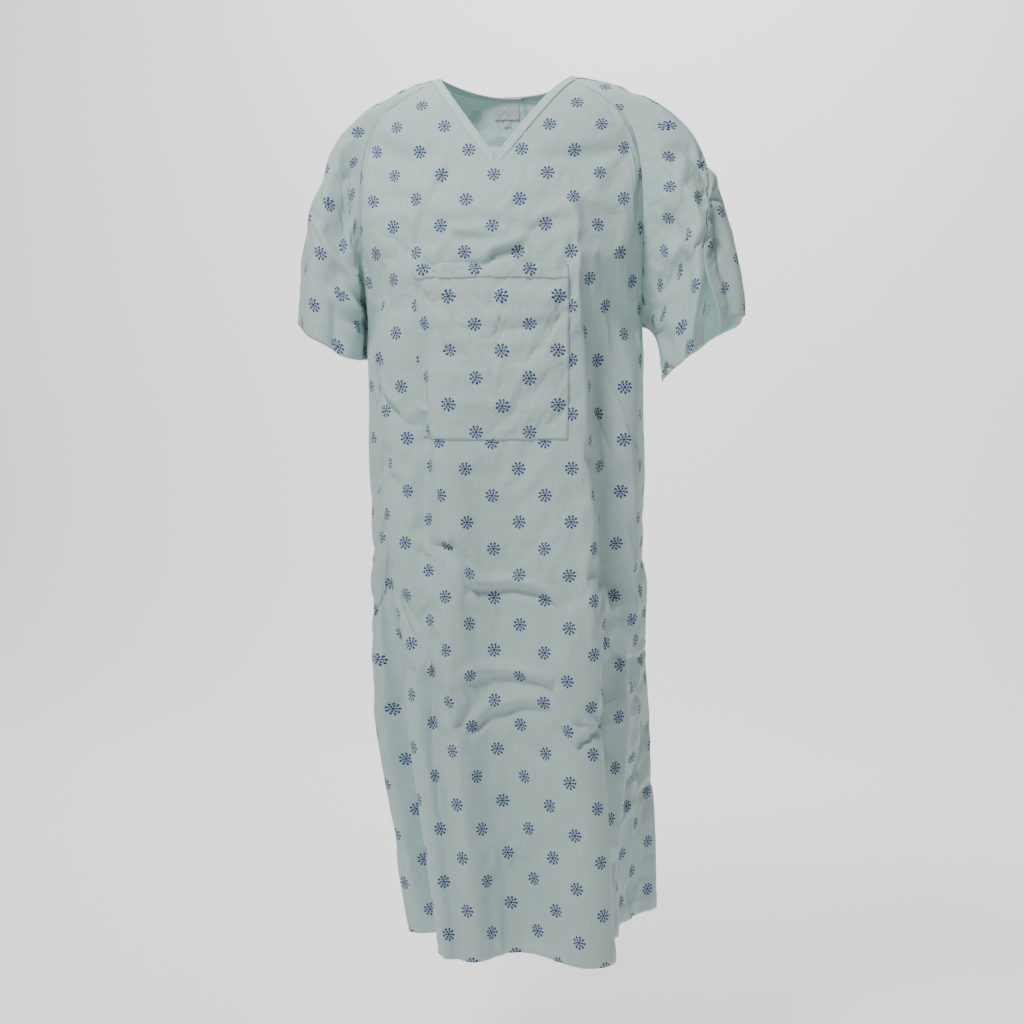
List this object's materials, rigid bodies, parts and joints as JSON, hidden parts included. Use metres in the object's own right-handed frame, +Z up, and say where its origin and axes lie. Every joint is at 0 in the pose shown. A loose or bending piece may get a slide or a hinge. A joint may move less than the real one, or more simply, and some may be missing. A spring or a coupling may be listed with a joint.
{
  "type": "patient gown",
  "caption": "Knee-length patient gown in printed poly-cotton with a bound V neck, snap-open raglan sleeves, chest patch pocket and overlapping snapped back.",
  "frame": {"origin": "on the centre plane at the height of the shoulder line, where the wearer's shoulders carry the gown", "axes": "+Z up, -Y the wearer's front, +X the wearer's left"},
  "size_m": [0.6152, 0.3366, 1.2063],
  "materials": {
    "print_cloth": "plain-weave poly-cotton in pale mint with small blue-violet rosettes",
    "binding": "plain mint woven bias binding, two rows of stitching",
    "label": "woven satin label, off-white",
    "snap": "moulded mint snap fastener"
  },
  "bodies": {
    "gown": {"front_panel": "print_cloth", "back_side_left": "print_cloth", "back_side_right": "print_cloth", "neck_binding_left": "binding", "neck_binding_right": "binding", "sleeve_front_left": "print_cloth", "sleeve_front_right": "print_cloth", "sleeve_back_left": "print_cloth", "sleeve_back_right": "print_cloth", "chest_pocket": "print_cloth", "pocket_hem": "print_cloth", "sleeve_snap_stud_left_1": "snap", "sleeve_snap_stud_left_2": "snap", "sleeve_snap_stud_left_3": "snap", "sleeve_snap_stud_right_1": "snap", "sleeve_snap_stud_right_2": "snap", "sleeve_snap_stud_right_3": "snap"},
    "back_outer": {"back_flap_outer": "print_cloth", "neck_binding_outer": "binding", "back_snap_socket_1": "snap", "back_snap_socket_2": "snap", "back_snap_socket_3": "snap"},
    "back_inner": {"back_flap_inner": "print_cloth", "neck_binding_inner": "binding", "neck_label": "label", "size_label": "label", "back_snap_stud_1": "snap", "back_snap_stud_2": "snap", "back_snap_stud_3": "snap"},
    "sleeve_opening_left": {"sleeve_flap_left": "print_cloth", "sleeve_placket_left": "print_cloth", "sleeve_snap_socket_left_1": "snap", "sleeve_snap_socket_left_2": "snap", "sleeve_snap_socket_left_3": "snap"},
    "sleeve_opening_right": {"sleeve_flap_right": "print_cloth", "sleeve_placket_right": "print_cloth", "sleeve_snap_socket_right_1": "snap", "sleeve_snap_socket_right_2": "snap", "sleeve_snap_socket_right_3": "snap"}
  },
  "joints": [
    {"name": "back_outer_fold", "type": "hinge", "parent": "gown", "child": "back_outer", "pos_m": [0.1206, 0.1191, -0.6], "axis": [0.0741, 0.011, -0.9972], "range_deg": [0, 100]},
    {"name": "back_inner_fold", "type": "hinge", "parent": "gown", "child": "back_inner", "pos_m": [-0.0851, 0.1291, -0.6], "axis": [0.0151, -0.0305, 0.9994], "range_deg": [0, 30]},
    {"name": "sleeve_left_fold", "type": "hinge", "parent": "gown", "child": "sleeve_opening_left", "pos_m": [0.2805, -0.048, -0.19], "axis": [-0.2355, -0.0952, 0.9672], "range_deg": [0, 58]},
    {"name": "sleeve_right_fold", "type": "hinge", "parent": "gown", "child": "sleeve_opening_right", "pos_m": [-0.267, 0.0985, -0.232], "axis": [-0.0322, 0.0846, -0.9959], "range_deg": [0, 58]}
  ],
  "couplings": [
    {"joint": "back_inner_fold", "follows": "back_outer_fold", "ratio": 0.3}
  ]
}
